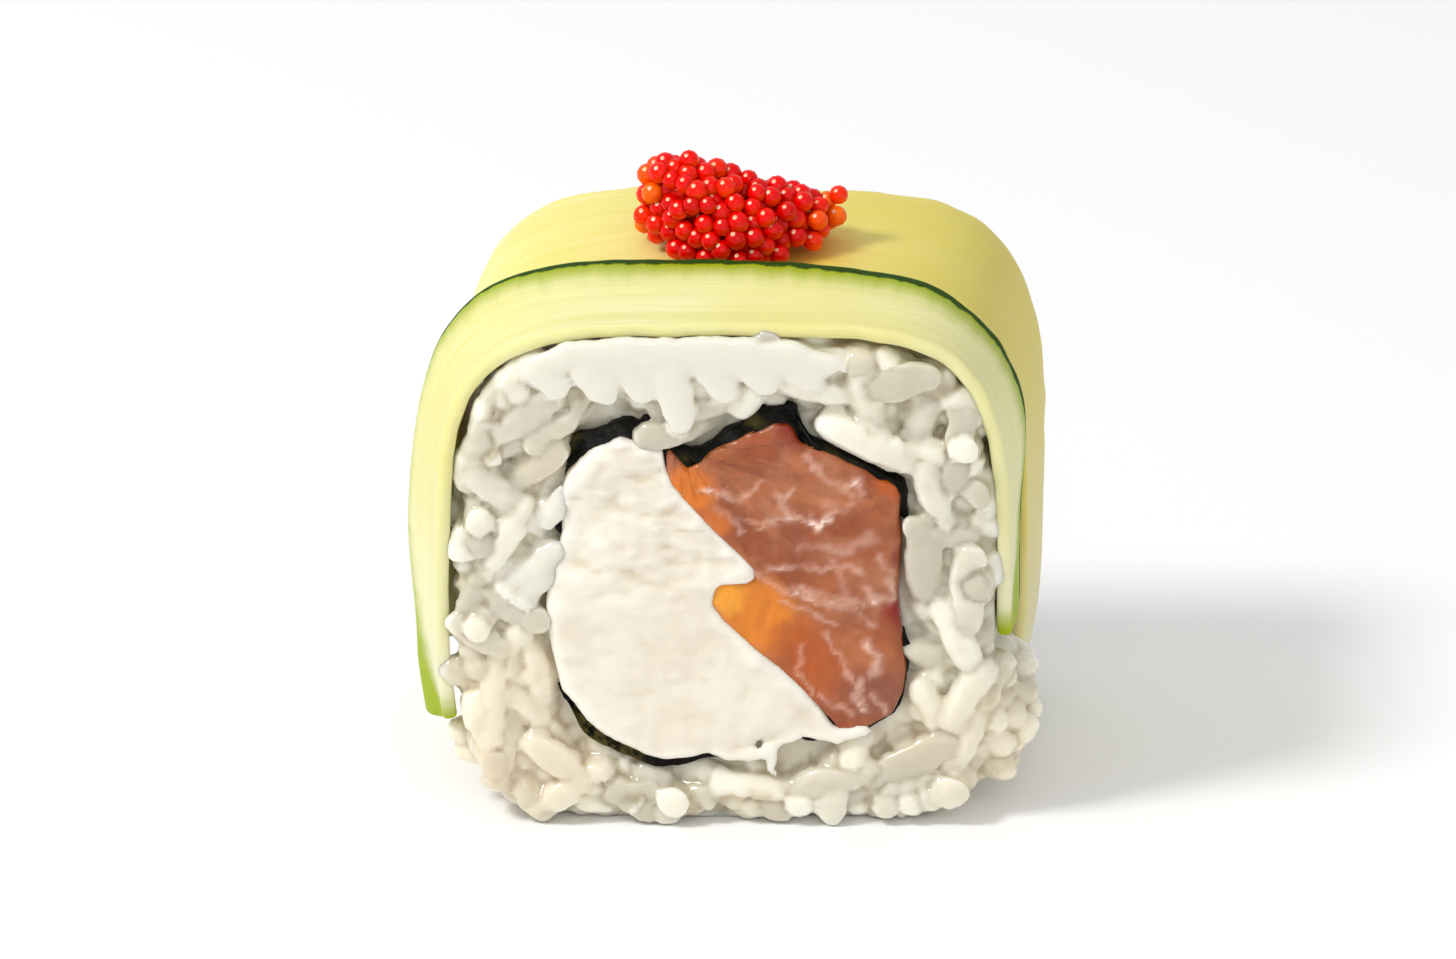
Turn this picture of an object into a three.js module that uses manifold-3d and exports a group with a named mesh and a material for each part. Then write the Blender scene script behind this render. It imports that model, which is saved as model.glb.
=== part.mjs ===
// One cut piece of a philadelphia roll: a thick ring of sushi rice round a nori sleeve that holds
// cream cheese and salmon, two cucumber strips draped over the rice, and a heap of flying fish roe.
// Millimetres, +Z up. The roll's axis runs along Y, with the cut face that is seen towards -Y.
// The piece stands on its flat foot, and the origin is the middle of its footprint.
import * as THREE from "three";
import { mergeVertices } from "three/addons/utils/BufferGeometryUtils.js";
import Module from "manifold-3d";

const wasm = await Module();
wasm.setup();

// Driving dimensions. Bearings are in degrees round the section, 0 to the right and 90 up.
const gap = 0.3; // left between neighbouring pieces
const roll = {
  depth: 23.5, // from cut face to cut face
  centre: [-0.9, 17.4], // lower than the half height, so that the foot is cut flat
  halfWidth: 18.8,
  halfHeight: 18.9,
  squareness: 4.2, // superellipse power: 2 is round, large is square
  // Dents and bulges of the rice: bearing, height outwards, width in degrees.
  bulges: [
    [38, -0.45, 16],
    [200, 0.35, 22],
  ],
  edgeRounding: 0.6, // how far the cut edges draw in
  edgeDepth: 3, // over this depth
  skew: 0.09, // the knife went through at a slant: sideways shift for each mm of depth
};
// Rice pressed up under the front strip, as [bearing, height outwards].
const padding = {
  rear: -5.9,
  heights: [
    [206, 0],
    [196, 0.4],
    [4, 0.4],
    [-6, 0],
  ],
};
// Rice squeezed out below the front strip's right end.
const footLump = { centre: [16.5, -7.4, 7.2], halfSize: [3.9, 4.0, 6.2] };
const sleeve = {
  centre: [-0.7, 17.2],
  halfWidth: 11.9,
  halfHeight: 12.0,
  squareness: 4,
  thickness: 0.5,
  recess: 0.4, // how far its cut edge lies behind the rice
  bulges: [
    [76, 1.3, 10],
    [106, -1.9, 9],
    [119, 1.0, 10],
    [48, -0.9, 14],
    [250, 0.8, 14],
    [286, -0.8, 16],
    [333, 0.4, 10],
  ],
};
// Where the cream cheese meets the salmon, from the top of the sleeve to its foot, as [x, z].
const fillingSeam = [
  [-4.4, 31],
  [-4.9, 26.5],
  [-2.2, 22.8],
  [0.6, 19.8],
  [1.5, 18.2],
  [-1.9, 17.5],
  [-0.4, 14.8],
  [3.7, 11.0],
  [6.2, 8.0],
  [8.9, 3.5],
];
const strip = { thickness: 1.1, lengthSteps: 36, widthSteps: 4 };
// A strip's lift is the height of its middle over the rice's outline, and its edges are y values.
// Both change along the strip and are given as [bearing, value], from its left end to its right end.
const frontStrip = {
  frontEdge: [[180, -12]],
  rearEdge: [
    [120, -4.2],
    [60, -4.6],
  ],
  frontLift: [
    [208, 0.3],
    [172, 0.5],
    [60, 0.5],
    [10, 0.1],
  ],
  rearLift: [
    [208, 1.9],
    [196, 2.2],
    [172, 2.9],
    [137, 2.35],
    [90, 2.1],
    [60, 1.5],
    [45, 1.0],
    [30, 1.1],
    [10, 0.3],
  ],
  rise: 0.75, // share of the width over which it rises from the front lift to the rear lift
  droop: 0, // how far its rear edge sinks over the last quarter of the width
  leftEnd: 7.2,
  rightEnd: 13.4,
  taper: 1.7, // how much each edge draws in towards the ends
};
const rearStrip = {
  frontEdge: [
    [128, -5.9],
    [104, -4.0],
  ],
  rearEdge: [[180, 12]],
  frontLift: [[120, 0.6]],
  rearLift: [
    [120, 1.0],
    [60, 0.6],
    [20, 0.9],
  ],
  rise: 1,
  droop: 0.5,
  leftEnd: 11,
  rightEnd: 2.4,
  taper: 1.0,
};
const grain = {
  halfLength: 3.5,
  halfWidth: 1.6,
  halfThickness: 1.4,
  bluntness: 0.6, // below 1 the ends are fuller than an ellipsoid's
  sides: 6,
  bands: 4,
};
const roe = {
  eggRadius: 0.84,
  eggs: 66,
  centre: [-0.9, 0.4], // x, y on the top
  halfLength: 6.7,
  halfDepth: 3.1,
  height: 5.6,
  tallSide: 0.4, // how much taller the left end is than the right
  fullness: 0.6, // below 1 its sides are steeper than an ellipsoid's
};

const frontFace = -roll.depth / 2;
const rearFace = roll.depth / 2;
const topOfRice = roll.centre[1] + roll.halfHeight;

// Seeded draws, so that every build is the same.
let seed = 20417;
function draw(low, high) {
  seed = (seed + 0x6d2b79f5) | 0;
  let t = Math.imul(seed ^ (seed >>> 15), 1 | seed);
  t = (t + Math.imul(t ^ (t >>> 7), 61 | t)) ^ t;
  return low + (high - low) * (((t ^ (t >>> 14)) >>> 0) / 4294967296);
}

const smooth = (t) => THREE.MathUtils.smoothstep(t, 0, 1);

// A value given as [bearing, value] pairs in falling bearings, at a bearing between them.
function atBearing(pairs, bearing) {
  if (bearing >= pairs[0][0]) return pairs[0][1];
  for (let i = 1; i < pairs.length; i++) {
    const [from, start] = pairs[i - 1];
    const [to, end] = pairs[i];
    if (bearing >= to) return THREE.MathUtils.lerp(start, end, smooth((from - bearing) / (from - to)));
  }
  return pairs.at(-1)[1];
}

// A point of a superellipse with bulges, in the XZ plane, moved outwards by grow.
function sectionPoint({ centre, halfWidth, halfHeight, squareness, bulges }, angle, grow, rigid) {
  const across = Math.abs(Math.cos(angle)) / (halfWidth + (rigid ? 0 : grow));
  const up = Math.abs(Math.sin(angle)) / (halfHeight + (rigid ? 0 : grow));
  let r = 1 / Math.pow(across ** squareness + up ** squareness, 1 / squareness);
  for (const [bearing, height, width] of bulges) {
    let turn = THREE.MathUtils.radToDeg(angle) - bearing;
    turn -= 360 * Math.round(turn / 360);
    r += height * Math.exp(-((turn / width) ** 2));
  }
  if (rigid) r += grow;
  return new THREE.Vector2(centre[0] + r * Math.cos(angle), centre[1] + r * Math.sin(angle));
}

const riceOutline = (angle, grow = 0) => sectionPoint(roll, angle, grow, false);
const sleeveOutline = (angle, grow = 0) => sectionPoint(sleeve, angle, grow, true);

function ring(outline, steps, grow = 0) {
  return Array.from({ length: steps }, (_, i) => outline((i / steps) * 2 * Math.PI, grow));
}

function solidFrom(geometry) {
  const bare = geometry.index ? geometry.toNonIndexed() : geometry.clone();
  bare.deleteAttribute("normal");
  bare.deleteAttribute("uv");
  const merged = mergeVertices(bare, 1e-4);
  return new wasm.Manifold(
    new wasm.Mesh({
      numProp: 3,
      vertProperties: new Float32Array(merged.attributes.position.array),
      triVerts: new Uint32Array(merged.index.array),
    }),
  );
}

function geometryFrom(solid) {
  const mesh = solid.getMesh();
  const geometry = new THREE.BufferGeometry();
  geometry.setAttribute("position", new THREE.BufferAttribute(mesh.vertProperties, 3));
  geometry.setIndex(new THREE.BufferAttribute(mesh.triVerts, 1));
  geometry.computeVertexNormals();
  return geometry;
}

// An XZ outline run along Y from one face to the other, with its edges rounded if wanted.
function along(points, from, to, rounding = 0, roundingDepth = 0) {
  const geometry = new THREE.ExtrudeGeometry(new THREE.Shape(points), {
    depth: to - from - 2 * roundingDepth,
    steps: 1,
    bevelEnabled: rounding > 0,
    bevelSize: rounding,
    bevelOffset: -rounding,
    bevelThickness: roundingDepth,
    bevelSegments: 2,
  });
  geometry.rotateX(Math.PI / 2);
  geometry.translate(0, to - roundingDepth, 0);
  return solidFrom(geometry);
}

// The line, from left end to right end, that a strip follows over the rice at a distance from it.
function drapeLine(spec, lift, grow) {
  const bearingOf = (height, side) => Math.atan2(height - roll.centre[1], side * roll.halfWidth);
  const left = bearingOf(spec.leftEnd - grow, -1);
  const from = left < 0 ? left + 2 * Math.PI : left;
  const to = bearingOf(spec.rightEnd - grow, 1);
  const steps = 44;
  return new THREE.SplineCurve(
    Array.from({ length: steps + 1 }, (_, i) =>
      riceOutline(THREE.MathUtils.lerp(from, to, i / steps), lift),
    ),
  );
}

// A thin slice of cucumber laid over the roll: a flat slab bent along the drape lines.
function drapedStrip(spec, grow = 0) {
  const slab = new THREE.BoxGeometry(2, 2, 2, strip.lengthSteps, strip.widthSteps, 1);
  const restLine = drapeLine(spec, 0, grow);
  const lines = new Map();
  const lineAt = (lift) => {
    const key = lift.toFixed(3);
    if (!lines.has(key)) lines.set(key, drapeLine(spec, Number(key), grow));
    return lines.get(key);
  };
  const place = (along, across) => {
    const share = THREE.MathUtils.clamp(along, 0, 1);
    const rest = restLine.getPointAt(share);
    const angle = Math.atan2(rest.y - roll.centre[1], rest.x - roll.centre[0]);
    const bearing = (THREE.MathUtils.radToDeg(angle) + 450) % 360 - 90;
    const rise = smooth(across / spec.rise);
    const lift =
      THREE.MathUtils.lerp(
        atBearing(spec.frontLift, bearing),
        atBearing(spec.rearLift, bearing),
        rise,
      ) -
      spec.droop * smooth(4 * across - 3);
    const flat = lineAt(lift).getPointAt(share);
    const drawIn = spec.taper * Math.abs(2 * share - 1) ** 5 - grow;
    const front = atBearing(spec.frontEdge, bearing) + drawIn;
    const rear = atBearing(spec.rearEdge, bearing) - drawIn;
    return new THREE.Vector3(flat.x, THREE.MathUtils.lerp(front, rear, across), flat.y);
  };
  const position = slab.getAttribute("position");
  const step = 1e-2;
  for (let i = 0; i < position.count; i++) {
    const u = (position.getX(i) + 1) / 2;
    const v = (position.getY(i) + 1) / 2;
    const lengthwise = place(u + step, v).sub(place(u - step, v));
    const sideways = place(u, Math.min(v + step, 1)).sub(place(u, Math.max(v - step, 0)));
    const outwards = lengthwise.cross(sideways).normalize();
    const point = place(u, v).addScaledVector(
      outwards,
      position.getZ(i) * (strip.thickness / 2 + grow),
    );
    position.setXYZ(i, point.x, point.y, point.z);
  }
  return solidFrom(slab);
}

function grainAt(place, direction) {
  const shape = new THREE.SphereGeometry(1, grain.sides, grain.bands);
  const position = shape.getAttribute("position");
  for (let i = 0; i < position.count; i++) {
    const r = Math.hypot(position.getX(i), position.getZ(i));
    const fuller = r > 0.01 ? r ** (grain.bluntness - 1) : 1;
    position.setX(i, position.getX(i) * fuller);
    position.setZ(i, position.getZ(i) * fuller);
  }
  const size = draw(0.88, 1.1);
  shape.scale(
    grain.halfWidth * size,
    grain.halfLength * size,
    grain.halfThickness * size,
  );
  const turn = new THREE.Quaternion().setFromUnitVectors(
    new THREE.Vector3(0, 1, 0),
    direction.clone().normalize(),
  );
  shape.applyQuaternion(turn);
  shape.translate(place.x, place.y, place.z);
  return solidFrom(shape);
}

// Grains on one cut face, in loops between the sleeve and the rice's outline.
function faceGrains(faceY, inwards) {
  const loops = [
    { share: 0.2, spacing: 5.6 },
    { share: 0.55, spacing: 5.2 },
    { share: 0.9, spacing: 5.0 },
  ];
  const made = [];
  for (const { share, spacing } of loops) {
    const line = new THREE.SplineCurve(
      ring((angle) => sleeveOutline(angle, 0.9).lerp(riceOutline(angle), share), 73),
    );
    const count = Math.round(line.getLength() / spacing);
    for (let i = 0; i < count; i++) {
      const at = (i + draw(-0.25, 0.25) + 1) / (count + 1);
      const spot = line.getPointAt(at);
      const run = line.getTangentAt(at);
      const turn = share > 0.8 ? 0.35 : 0.9;
      run.rotateAround(new THREE.Vector2(), draw(-turn, turn));
      if (spot.y < 0.8) continue;
      const sink = draw(0.1, 0.7) + (share > 0.8 ? 0.5 : 0);
      made.push(
        grainAt(
          new THREE.Vector3(spot.x, faceY + inwards * sink, spot.y),
          new THREE.Vector3(run.x, draw(-0.25, 0.25), run.y),
        ),
      );
    }
  }
  return made;
}

// Grains on the sides and the foot's corners, where no cucumber covers them.
function sideGrains() {
  const made = [];
  const rows = 5;
  const angles = [196, 208, 220, 232, -52, -40, -30, -21, -12, -3];
  for (const degrees of angles)
    for (let i = 0; i < rows; i++) {
      const y = THREE.MathUtils.lerp(frontFace + 1.6, rearFace - 1.6, (i + draw(0.2, 0.8)) / rows);
      const spot = riceOutline(THREE.MathUtils.degToRad(degrees + draw(-3, 3)), -0.8);
      if (spot.y < 2) continue;
      const direction = new THREE.Vector3(draw(-0.2, 0.2), draw(-1, 1), draw(-1, 1));
      made.push(grainAt(new THREE.Vector3(spot.x, y, spot.y), direction));
    }
  return made;
}

// The body that is left once loose scraps of a cut are dropped.
function largest(solid) {
  return solid.decompose().sort((a, b) => b.volume() - a.volume())[0];
}

const clearances = [drapedStrip(frontStrip, gap), drapedStrip(rearStrip, gap)];
const crowds = (solid) =>
  clearances.some((c) => solid.intersect(c).volume() > 0.12 * solid.volume());

function makeRice() {
  const core = along(ring(riceOutline, 56), frontFace, rearFace, roll.edgeRounding, roll.edgeDepth);
  const padOutline = (angle) => {
    const bearing = THREE.MathUtils.radToDeg(angle);
    return riceOutline(angle, atBearing(padding.heights, bearing > 270 ? bearing - 360 : bearing));
  };
  const pad = along(ring(padOutline, 56), frontFace, padding.rear);
  const lump = new THREE.SphereGeometry(1, 12, 8);
  lump.scale(...footLump.halfSize);
  lump.translate(...footLump.centre);
  const grains = [
    ...faceGrains(frontFace, 1),
    ...faceGrains(rearFace, -1),
    ...sideGrains(),
  ].filter((g) => !crowds(g));
  const hole = along(
    ring(sleeveOutline, 56, sleeve.thickness / 2 + gap),
    frontFace - 4,
    rearFace + 4,
  );
  let rice = wasm.Manifold.union([core, pad, solidFrom(lump), ...grains]).subtract(hole);
  for (const clearance of clearances) rice = rice.subtract(clearance);
  return largest(rice.trimByPlane([0, 0, 1], 0));
}

function makeSleeve() {
  const from = frontFace + sleeve.recess;
  const to = rearFace - sleeve.recess;
  const outer = along(ring(sleeveOutline, 56, sleeve.thickness / 2), from, to);
  return outer.subtract(along(ring(sleeveOutline, 56, -sleeve.thickness / 2), from - 1, to + 1));
}

// The filling fills the sleeve and is split along the seam.
function makeFilling() {
  const bulge = 0.3;
  const filling = along(
    ring(sleeveOutline, 56, -sleeve.thickness / 2 - gap),
    frontFace - bulge,
    rearFace + bulge,
    0.5,
    0.5,
  );
  const seam = new THREE.SplineCurve(fillingSeam.map(([x, z]) => new THREE.Vector2(x, z)));
  const farSide = 20;
  const salmonSide = new THREE.Shape(
    [...seam.getSpacedPoints(26), new THREE.Vector2(farSide, 3.5), new THREE.Vector2(farSide, 31)],
  );
  const cutter = along(salmonSide.getPoints(), frontFace - 3, rearFace + 3);
  const salmon = filling.intersect(cutter);
  let cheese = filling;
  const directions = 8;
  for (let i = 0; i < directions; i++) {
    const angle = (i / directions) * 2 * Math.PI;
    cheese = cheese.subtract(cutter.translate([gap * Math.cos(angle), 0, gap * Math.sin(angle)]));
  }
  return { salmon, cheese };
}

// A point of the heap of roe, towards a direction given by its height share and its turn.
function heapPoint(up, turn, scale) {
  const flat = Math.sqrt(Math.max(0, 1 - up * up));
  const x = flat * Math.cos(turn);
  return new THREE.Vector3(
    roe.centre[0] + scale * roe.halfLength * x,
    roe.centre[1] + scale * roe.halfDepth * flat * Math.sin(turn),
    scale * roe.height * Math.abs(up) ** roe.fullness * (1 - roe.tallSide * x) * Math.sign(up),
  );
}

// Eggs spread evenly over a mound that sits on the rear strip.
function makeRoe() {
  const base = topOfRice + rearStrip.frontLift[0][1] + strip.thickness / 2;
  const goldenTurn = Math.PI * (3 - Math.sqrt(5));
  const mound = new THREE.SphereGeometry(1, 14, 8);
  const position = mound.getAttribute("position");
  for (let i = 0; i < position.count; i++) {
    const turn = Math.atan2(position.getZ(i), position.getX(i));
    const point = heapPoint(position.getY(i), -turn, 0.9);
    position.setXYZ(i, point.x, point.y, point.z + base);
  }
  const eggs = [];
  for (let i = 0; i < roe.eggs; i++) {
    const up = (1 - (i + 0.5) / roe.eggs) ** 1.3;
    const spot = heapPoint(up, i * goldenTurn + draw(-0.08, 0.08), draw(0.95, 1.04));
    const egg = new THREE.IcosahedronGeometry(roe.eggRadius * draw(0.94, 1.08), 0);
    egg.rotateX(draw(0, 3));
    egg.translate(spot.x, spot.y, spot.z + base + 0.1);
    eggs.push(solidFrom(egg));
  }
  let heap = wasm.Manifold.union([solidFrom(mound), ...eggs]).trimByPlane([0, 0, 1], base);
  for (const clearance of clearances) heap = heap.subtract(clearance);
  return largest(heap);
}

const looks = {
  rice: { color: 0xe9e8dc, roughness: 0.35 },
  nori: { color: 0x11150f, roughness: 0.5 },
  cream_cheese: { color: 0xf6f0de, roughness: 0.5 },
  salmon: { color: 0xb9683f, roughness: 0.3 },
  cucumber_front: { color: 0xdfe08e, roughness: 0.3 },
  cucumber_rear: { color: 0xe6de88, roughness: 0.3 },
  roe: { color: 0xd92a0c, roughness: 0.15 },
};

const { salmon, cheese } = makeFilling();
const solids = {
  rice: makeRice(),
  nori: makeSleeve(),
  cream_cheese: cheese,
  salmon,
  cucumber_front: drapedStrip(frontStrip),
  cucumber_rear: drapedStrip(rearStrip),
  roe: makeRoe(),
};

const piece = new THREE.Group();
const slant = new THREE.Matrix4()
  .makeShear(0, 0, roll.skew, 0, 0, 0)
  .multiply(new THREE.Matrix4().makeTranslation(0, roll.depth / 2, 0))
  .premultiply(new THREE.Matrix4().makeTranslation(0, -roll.depth / 2, 0));
for (const [name, solid] of Object.entries(solids)) {
  const material = new THREE.MeshStandardMaterial({ ...looks[name], metalness: 0 });
  const mesh = new THREE.Mesh(geometryFrom(solid).applyMatrix4(slant), material);
  mesh.name = name;
  piece.add(mesh);
}
const footprint = new THREE.Box3().setFromObject(piece);
piece.position.set(
  -(footprint.min.x + footprint.max.x) / 2,
  -(footprint.min.y + footprint.max.y) / 2,
  0,
);

export default piece;
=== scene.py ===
import random
from functools import partialmethod
from math import atan2, copysign, cos, degrees, exp, hypot, pi, radians, sin, sqrt

import bmesh
import bpy
import numpy as np
from mathutils import Matrix, Vector, noise
from mathutils.kdtree import KDTree


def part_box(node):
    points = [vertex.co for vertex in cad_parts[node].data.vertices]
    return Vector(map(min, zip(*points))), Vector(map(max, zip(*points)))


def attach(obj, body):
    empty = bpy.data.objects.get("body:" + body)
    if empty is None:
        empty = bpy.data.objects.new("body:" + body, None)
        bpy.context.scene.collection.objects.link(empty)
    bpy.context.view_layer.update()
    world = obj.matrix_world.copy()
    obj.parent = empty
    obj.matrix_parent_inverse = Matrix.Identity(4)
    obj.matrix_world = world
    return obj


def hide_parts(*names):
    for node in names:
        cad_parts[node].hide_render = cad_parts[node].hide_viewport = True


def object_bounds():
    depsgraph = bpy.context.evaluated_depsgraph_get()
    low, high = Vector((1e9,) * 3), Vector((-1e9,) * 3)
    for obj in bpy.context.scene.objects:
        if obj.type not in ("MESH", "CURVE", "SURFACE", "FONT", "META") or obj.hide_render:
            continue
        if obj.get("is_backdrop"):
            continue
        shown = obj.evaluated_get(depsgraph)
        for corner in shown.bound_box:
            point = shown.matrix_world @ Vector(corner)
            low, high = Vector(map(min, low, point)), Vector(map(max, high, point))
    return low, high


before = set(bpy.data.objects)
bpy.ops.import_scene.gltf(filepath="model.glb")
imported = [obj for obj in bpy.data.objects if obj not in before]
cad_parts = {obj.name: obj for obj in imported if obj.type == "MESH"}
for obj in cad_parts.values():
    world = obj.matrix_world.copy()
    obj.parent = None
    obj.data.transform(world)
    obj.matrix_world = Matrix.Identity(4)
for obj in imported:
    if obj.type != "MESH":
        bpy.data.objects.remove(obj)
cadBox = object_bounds()
print("frame loaded")

mm = 0.001

# The section that the solids share, in millimetres in the plane of the seen cut face.
# A bulge is (bearing in degrees, height outwards, width in degrees).
roll = {
    "depth": 23.5,
    "centre": (-0.9, 17.4),
    "halfWidth": 18.8,
    "halfHeight": 18.9,
    "squareness": 4.2,
    "bulges": [(38, -0.45, 16), (200, 0.35, 22)],
    "stiff": False,
    "skew": 0.09,  # sideways shift for each millimetre of depth
}
sleeve = {
    "centre": (-0.7, 17.2),
    "halfWidth": 11.9,
    "halfHeight": 12.0,
    "squareness": 4,
    "bulges": [(76, 1.3, 10), (106, -1.9, 9), (119, 1.0, 10), (48, -0.9, 14),
               (250, 0.8, 14), (286, -0.8, 16), (333, 0.4, 10)],
    "stiff": True,  # grows by the same amount all round
    "recess": 0.4,
    "thickness": 0.5,
}


def sectionPoint(shape, angle, grow=0):
    widen = 0 if shape["stiff"] else grow
    across = abs(cos(angle)) / (shape["halfWidth"] + widen)
    up = abs(sin(angle)) / (shape["halfHeight"] + widen)
    power = shape["squareness"]
    r = (across ** power + up ** power) ** (-1 / power)
    for bearing, height, width in shape["bulges"]:
        turn = (degrees(angle) - bearing + 180) % 360 - 180
        r += height * exp(-((turn / width) ** 2))
    if shape["stiff"]:
        r += grow
    return shape["centre"][0] + r * cos(angle), shape["centre"][1] + r * sin(angle)


# How far a section's outline lies from its own centre, or from another start.
def sectionReach(shape, angle, grow=0, start=None):
    return (Vector(sectionPoint(shape, angle, grow)) - Vector(start or shape["centre"])).length


def smoothStep(t):
    t = min(max(t, 0.0), 1.0)
    return t * t * (3 - 2 * t)


# A value given as (bearing, value) pairs in falling bearings.
def atBearing(pairs, bearing):
    if bearing >= pairs[0][0]:
        return pairs[0][1]
    for (high, start), (low, end) in zip(pairs, pairs[1:]):
        if bearing >= low:
            return start + (end - start) * smoothStep((high - bearing) / (high - low))
    return pairs[-1][1]


# Where the section lies in the frame: the nori's box gives the shift.
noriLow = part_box("nori")[0] / mm
sleeveLeft = min(
    sectionPoint(sleeve, radians(a), sleeve["thickness"] / 2)[0] for a in range(0, 360, 3)
)
shift = Vector((
    noriLow.x - sleeveLeft - roll["skew"] * sleeve["recess"],
    noriLow.y + roll["depth"] / 2 - sleeve["recess"],
))


# From the section's x, depth behind the seen face and height, to metres in the frame.
def place(x, depth, z):
    return Vector((
        x + roll["skew"] * depth + shift.x,
        depth - roll["depth"] / 2 + shift.y,
        z,
    )) * mm


# The edge of a patch of colour, as shares of its reach, and the scale of its raggedness.
patch = {"softness": 0.45, "wobble": 0.9, "scale": 420}


# A node's output in a sum.
class Value:
    def __init__(self, paint, socket):
        self.paint = paint
        self.socket = socket

    def combine(self, operation, *others, clamp=False):
        settings = {"operation": operation, "use_clamp": clamp}
        return self.paint.add("Math", settings, dict(enumerate((self,) + others)))

    __add__ = __radd__ = partialmethod(combine, "ADD")
    __mul__ = __rmul__ = partialmethod(combine, "MULTIPLY")
    __sub__ = partialmethod(combine, "SUBTRACT")
    __truediv__ = partialmethod(combine, "DIVIDE")
    __pow__ = partialmethod(combine, "POWER")

    def __rsub__(self, other):
        return self * -1 + other

    def clamped(self):
        return self.combine("ADD", 0, clamp=True)

    # 0 below low, 1 above high.
    def between(self, low, high):
        inputs = {"Value": self, "From Min": low, "From Max": high}
        return self.paint.add("MapRange", {"interpolation_type": "SMOOTHSTEP"}, inputs)


# One material: its nodes come from add, and finish sets the shader.
class Paint:
    def __init__(self, name):
        self.material = bpy.data.materials.new(name)
        self.material.use_nodes = True
        self.tree = self.material.node_tree
        self.shader = self.tree.nodes["Principled BSDF"]

    def add(self, kind, settings, inputs, output=0):
        node = self.tree.nodes.new("ShaderNode" + kind)
        for key, value in settings.items():
            setattr(node, key, value)
        for key, value in inputs.items():
            self.put(node.inputs[key], value)
        return Value(self, node.outputs[output])

    def put(self, socket, value):
        if isinstance(value, Value):
            self.tree.links.new(value.socket, socket)
        elif isinstance(value, tuple) and len(value) == 3 and socket.type == "RGBA":
            socket.default_value = (*value, 1)
        else:
            socket.default_value = value

    def where(self):
        return self.add("TexCoord", {}, {}, "Object")

    def uv(self):
        return self.add("TexCoord", {}, {}, "UV")

    def attribute(self, name):
        return self.add("Attribute", {"attribute_name": name}, {}, "Fac")

    def parts(self, vector):
        first = self.add("SeparateXYZ", {}, {"Vector": vector})
        return [Value(self, socket) for socket in first.socket.node.outputs]

    # 1 near a place of the section, whatever the depth unless one is given, and 0 beyond its
    # reach in millimetres.
    def near(self, x, z, reach, depth=None):
        where = self.where()
        anyDepth = depth is None
        spot = Vector((x + shift.x, 0, z)) * mm if anyDepth else place(x, depth, z)
        kept = (1, 0 if anyDepth else 1, 1)
        flat = self.add("VectorMath", {"operation": "MULTIPLY"}, {0: where, 1: kept})
        gap = self.add("VectorMath", {"operation": "DISTANCE"}, {0: flat, 1: spot}, 1)
        wobble = (self.noise(where, patch["scale"], 3) - 0.5) * reach * patch["wobble"]
        soft = reach * patch["softness"]
        return 1 - (gap / mm + wobble).between(reach - soft, reach + soft)

    def noise(self, vector, scale, detail=3, roughness=0.5, distortion=0.0):
        inputs = {"Vector": vector, "Scale": scale, "Detail": detail,
                  "Roughness": roughness, "Distortion": distortion}
        return self.add("TexNoise", {}, inputs, "Fac")

    # Lays colours over a first one, each (share, red, green, blue) in sRGB 0 to 255.
    def layered(self, colour, *layers):
        colour = tint(*colour) if isinstance(colour, tuple) else colour
        for share, *shade in layers:
            inputs = {0: share, 6: colour, 7: tint(*shade)}
            colour = self.add("Mix", {"data_type": "RGBA"}, inputs, 2)
        return colour

    def ramp(self, factor, stops):
        colour = self.add("ValToRGB", {}, {"Fac": factor})
        elements = colour.socket.node.color_ramp.elements
        while len(elements) < len(stops):
            elements.new(0.5)
        for element, (position, shade) in zip(elements, stops):
            element.position = position
            element.color = (*shade, 1)
        return colour

    # bump is (height, strength, distance). glow is how much light goes in under the surface, how
    # far each colour does, and the scale.
    def finish(self, colour, roughness, bump=None, glow=None, others={}):
        sockets = {"Base Color": colour, "Roughness": roughness, **others}
        if bump:
            inputs = dict(zip(("Height", "Strength", "Distance"), bump))
            sockets["Normal"] = self.add("Bump", {}, inputs)
        if glow:
            names = ("Subsurface Weight", "Subsurface Radius", "Subsurface Scale")
            sockets.update(zip(names, glow))
        for name, value in sockets.items():
            self.put(self.shader.inputs[name], value)
        return self.material


# sRGB 0 to 255, as read off a screen, to the linear colour that a shader takes.
def tint(red, green, blue):
    def linear(c):
        c /= 255
        return c / 12.92 if c <= 0.04045 else ((c + 0.055) / 1.055) ** 2.4
    return linear(red), linear(green), linear(blue)


def newObject(name, mesh):
    obj = bpy.data.objects.new(name, mesh)
    bpy.context.scene.collection.objects.link(obj)
    return obj


def objectFrom(name, bm):
    mesh = bpy.data.meshes.new(name)
    bm.to_mesh(mesh)
    bm.free()
    return newObject(name, mesh)


# Puts the object's modifiers into its mesh.
def applied(obj):
    graph = bpy.context.evaluated_depsgraph_get()
    mesh = bpy.data.meshes.new_from_object(obj.evaluated_get(graph))
    obj.modifiers.clear()
    obj.data = mesh
    return obj


def dress(obj, material, nodes):
    obj.data.materials.clear()
    obj.data.materials.append(material)
    obj.data.shade_smooth()
    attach(obj, "root")
    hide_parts(*nodes)
    triangles = sum(len(p.vertices) - 2 for p in obj.data.polygons)
    print(obj.name, triangles, "triangles before modifiers")


# A mesh's points, or their normals, one to a row.
def rows(mesh, kind="co"):
    flat = np.empty(len(mesh.vertices) * 3)
    mesh.vertices.foreach_get(kind, flat)
    return flat.reshape(-1, 3)


def setRows(mesh, points):
    mesh.vertices.foreach_set("co", np.asarray(points).ravel())
    mesh.update()


def mark(mesh, name, values):
    mesh.attributes.new(name, "FLOAT", "POINT").data.foreach_set("value", values)


def ripple(point, scale, octaves=2):
    return noise.fractal(Vector(point) * scale, 0.6, 2.0, octaves)


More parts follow.
